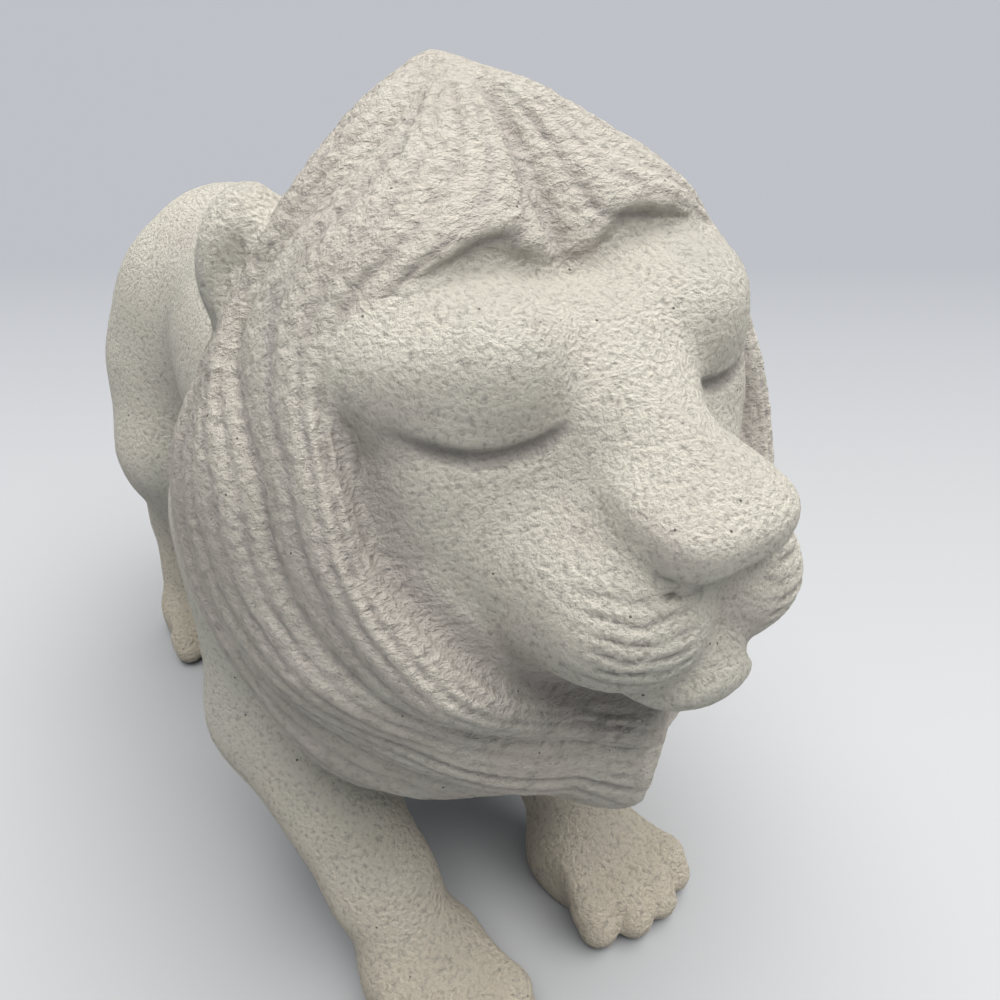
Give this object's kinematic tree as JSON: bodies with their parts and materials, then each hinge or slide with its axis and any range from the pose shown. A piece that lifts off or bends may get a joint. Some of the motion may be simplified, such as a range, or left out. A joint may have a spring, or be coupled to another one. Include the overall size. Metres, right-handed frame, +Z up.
{
  "type": "lion statue",
  "caption": "Standing lion statue cast in pale stone, with a carved mane, shut eyes and four clawless paws that it rests on.",
  "frame": {"origin": "middle of the box round the figure, at the level of the soles", "axes": "+Z up from the soles, -Y is where the lion faces, +X is the lion's left side"},
  "size_m": [0.1303, 0.2473, 0.1997],
  "materials": {
    "stone": "matt, fine grained, cast"
  },
  "bodies": {
    "root": {"lion": "stone"}
  },
  "joints": []
}
